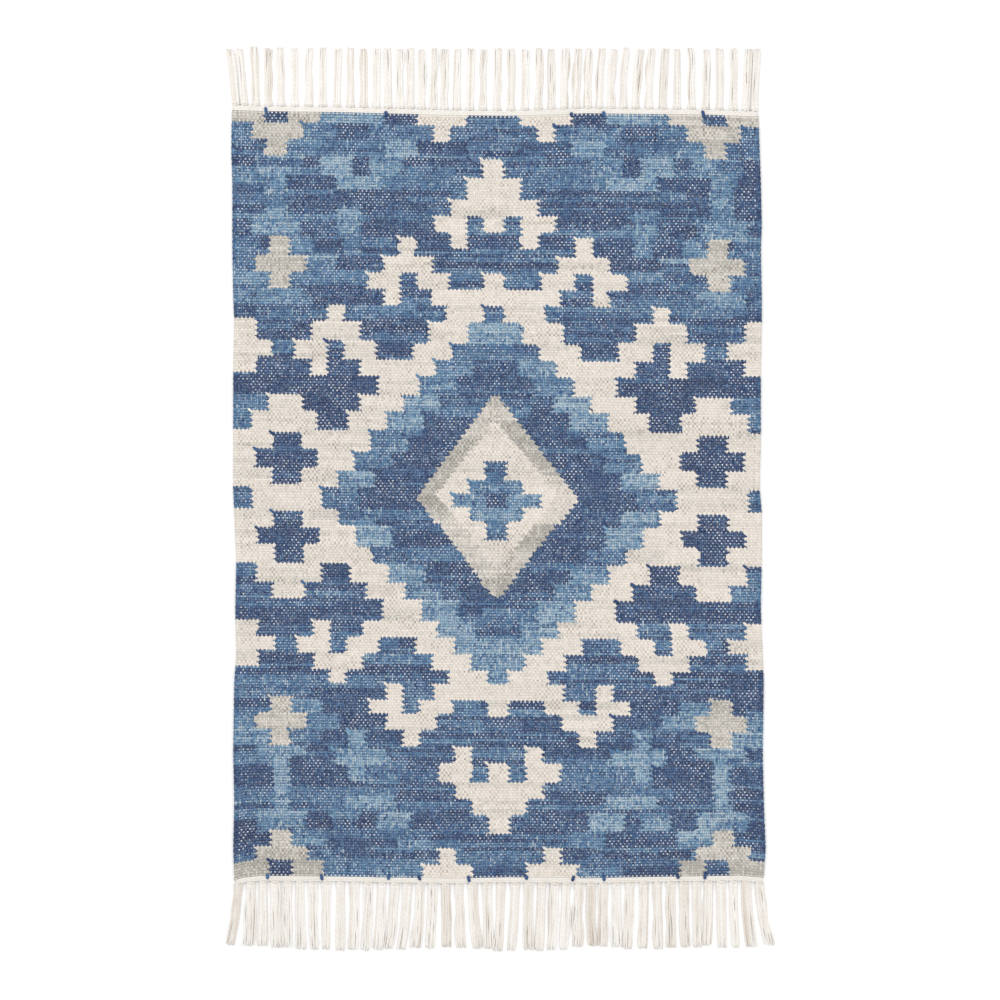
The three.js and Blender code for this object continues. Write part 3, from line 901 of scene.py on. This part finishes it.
def tie_tassels(name, row, lie, column, out, yarns, widths, looseness, worn):
    """The knots and yarns of one end. The widths are those of a tassel at its knot and at its tip."""
    skein = Skein()
    knot_width, tip_width = widths
    placed = place_tassels(row, lie, column, out)
    for i, tassel in enumerate(placed):
        gaps = [abs(other["x"] - tassel["x"]) for other in placed[max(0, i - 1):i] + placed[i + 1:i + 2]]
        room = min(1, min(gaps) / (knot_width + 1.5))
        # Some knots are drawn tighter than others.
        drawn = room * (1 - KNOT_PULL * looseness + wave(i, KNOT_PULL * looseness, 2.1, 0.5))
        tie_knot(skein, tassel, out, knot_width * drawn)
        spread = tip_width * room * weaver.uniform(1 - 0.25 * looseness, 1 + 0.2 * looseness)
        dingy = sum(math.exp(-((tassel["x"] - x) / width) ** 2) * depth for x, width, depth in worn)
        for strand in range(yarns):
            slot = (strand + 0.5) / yarns - 0.5
            root_x = tassel["x"] + slot * knot_width * drawn
            tip_x = tassel["tip_x"] + slot * spread + weaver.gauss(0, looseness)
            tip = tassel["tip"] - out * abs(weaver.gauss(0, TIP_STRAY + TIP_STRAY * looseness))
            # Every second yarn lies on top, over the hollow between two lower ones.
            high = YARN_RISE * (strand % 2)
            wiggle = weaver.gauss(0, 0.35 + looseness * 0.3)
            phase = weaver.uniform(0, 6.28)
            waves = weaver.uniform(0.8, 1.7)
            path = []
            for step in range(YARN_POINTS):
                t = step / (YARN_POINTS - 1)
                settle = min(1, t / SETTLED)
                x = root_x + (tip_x - root_x) * t + tassel["bow"] * 4 * t * (1 - t)
                x += wiggle * math.sin(2 * math.pi * waves * t + phase) * settle
                lying = YARN_RADIUS + 0.05 + high * (0.6 + 0.4 * math.sin(5 * t + phase))
                z = HEADING_Z + (lying - HEADING_Z) * settle
                path.append((x, tassel["root"] + (tip - tassel["root"]) * t, z))
            radius = YARN_RADIUS * weaver.uniform(0.9, 1.08)
            turns = YARN_TURNS * weaver.uniform(0.85, 1.15)
            tint = min(1, abs(weaver.gauss(0.12, 0.3)) + dingy)
            skein.spin(path, radius, turns, tint, YARN_SIDES, 0.06, 0.4)
    return put_out(name, skein.mesh(name), undyed_cotton)


# Columns: x, half width and depth of each stretch of the near fringe that is yellowed.
YELLOWED = (
    (-300, 8, 0.5), (-62, 8, 0.3), (-5, 8, 0.3), (40, 8, 0.35), (105, 12, 0.4), (200, 25, 0.3),
    (285, 10, 0.3),
)
tassels_far = tie_tassels("tassels_far", FAR_ROW, FAR_LIE, 1, 1, 7, (7.4, 8.2), 0.45, ())
tassels_near = tie_tassels("tassels_near", NEAR_ROW, NEAR_LIE, 2, -1, 9, (9.8, 10.8), 0.7, YELLOWED)
for piece in (heading_far, tassels_far):
    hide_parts("fringe_far")
for piece in (heading_near, tassels_near):
    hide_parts("fringe_near")

# The weft ends.
# Where a block of colour begins or ends, its weft slips a warp or two over the next one as a stray end.
# Blue wefts that end at a heading are left a few millimetres long over it.
# Columns: x, length.
FAR_TAILS = ((-264, 6), (-128, 4), (82, 3), (118, 4), (233, 6))
NEAR_TAILS = (
    (-263, 5), (-202, 6), (-125, 4), (-91, 4), (-35, 6), (30, 4), (85, 5), (119, 5), (202, 4), (234, 5),
)
LEAST_CONTRAST = 0.42
ENDS_LEFT = 0.75
END_RADIUS = 1.45
TAIL_RADIUS = 1.8
END_STEPS = 6
END_DEPTH = 0.75
END_ARCH = 0.6
TAIL_START = 2.5


def leave_end(skein, start, stop, dye, radius=END_RADIUS):
    """A short end of weft that comes up out of the cloth at one point and lies down at another."""
    path = []
    for step in range(END_STEPS + 1):
        t = step / END_STEPS
        path.append((
            start[0] + (stop[0] - start[0]) * t,
            start[1] + (stop[1] - start[1]) * t,
            CLOTH_TOP - END_DEPTH + END_ARCH * math.sin(math.pi * min(1, 0.25 + t * 0.7)),
        ))
    skein.spin(path, radius, 0.8, dye, 8, 0.1, 0.5)


def find_block_corners():
    """Warp, pick and dye of the upper left corners where a block still meets a colour unlike its own."""
    corners = []
    for yarn, first, last, near, far in blocks:
        left, right = sorted((near, far))
        if last - first < 3 or right - left < 4:
            continue
        warp, span = left, round(left) + WARPS_LEFT
        if not (3 < span < SPANS - 6 and 3 < first < PICKS - 4) or weaver.random() > ENDS_LEFT:
            continue
        own = YARNS[yarn]["dye"]
        others = YARNS[laid[first][span - 4]]["dye"], YARNS[laid[first - 2][span + 2]]["dye"]
        if laid[first + 1][span + 2] == yarn and all(abs(other - own) > LEAST_CONTRAST for other in others):
            corners.append((warp, first, chart[first][span + 2]))
    return corners


def gather_ends():
    """All the stray ends as one mesh: the tails over both headings, then those within the cloth."""
    skein = Skein()
    for column, out, tails in ((1, 1, FAR_TAILS), (2, -1, NEAR_TAILS)):
        for x, length in tails:
            edge = read_across(LAST_PICKS, x, column)
            lean = weaver.uniform(-0.5, 0.5) * length
            tip = (x + lean, edge + out * (length - 1.5))
            leave_end(skein, (x, edge - out * TAIL_START), tip, weaver.uniform(0.02, 0.25), TAIL_RADIUS)
    for warp, pick, dye in find_block_corners():
        reach = weaver.uniform(0.7, 1.3)
        tip = beat_in(warp - reach, pick - 0.55 * reach)
        leave_end(skein, beat_in(warp + 1.2, pick + 0.9), tip, dye - 0.04)
    return skein.mesh("weft_ends")


def make_end_finish():
    """The same dyes as the cloth's wefts, on loose yarn."""
    bench = Bench("loose_weft")
    fibre = bench.noise(bench.node("ShaderNodeNewGeometry").outputs["Position"], 900.0, 3.0)
    dye = bench.plus(bench.reading("tint"), bench.times(bench.minus(fibre, 0.5), 0.05))
    return bench.finish(bench.ramp(dye, DYE_SCALE), fibre, 0.35, 0.0003)


weft_ends = put_out("weft_ends", gather_ends(), make_end_finish())

# The studio.
# A seamless white floor under a broad overhead light, as in a plain catalogue picture, with one softer side.
FLOOR_HALF = 3.0
PAPER = (0.97, 0.97, 0.97, 1)
SKY_STRENGTH = 0.88
corners = [(x * FLOOR_HALF, y * FLOOR_HALF, 0) for x, y in ((-1, -1), (1, -1), (1, 1), (-1, 1))]
floor_mesh = bpy.data.meshes.new("floor")
floor_mesh.from_pydata(corners, [], [(0, 1, 2, 3)])
floor = bpy.data.objects.new("floor", floor_mesh)
bpy.context.scene.collection.objects.link(floor)
paper = Bench("white_paper")
paper.shader.inputs["Base Color"].default_value = PAPER
paper.shader.inputs["Roughness"].default_value = 0.9
paper.shader.inputs["Specular IOR Level"].default_value = 0.1
floor_mesh.materials.append(paper.material)

world = bpy.data.worlds.new("studio")
world.use_nodes = True
sky = world.node_tree.nodes["Background"]
sky.inputs["Color"].default_value = (1, 1, 1, 1)
sky.inputs["Strength"].default_value = SKY_STRENGTH
bpy.context.scene.world = world
# Columns: name, place, width, watts.
for name, place, width, watts in (
    ("key_light", (-1.3, 1.5, 2.0), 1.8, 21),
    ("fill_light", (1.6, -0.8, 2.2), 2.2, 14),
):
    light_data = bpy.data.lights.new(name, "AREA")
    light_data.size = width
    light_data.energy = watts
    light = bpy.data.objects.new(name, light_data)
    bpy.context.scene.collection.objects.link(light)
    light.location = place
    x, y, z = place
    light.rotation_euler = (math.atan2(math.hypot(x, y), z), 0, math.atan2(-x, y) + math.pi)
bpy.context.scene.view_settings.view_transform = "Standard"
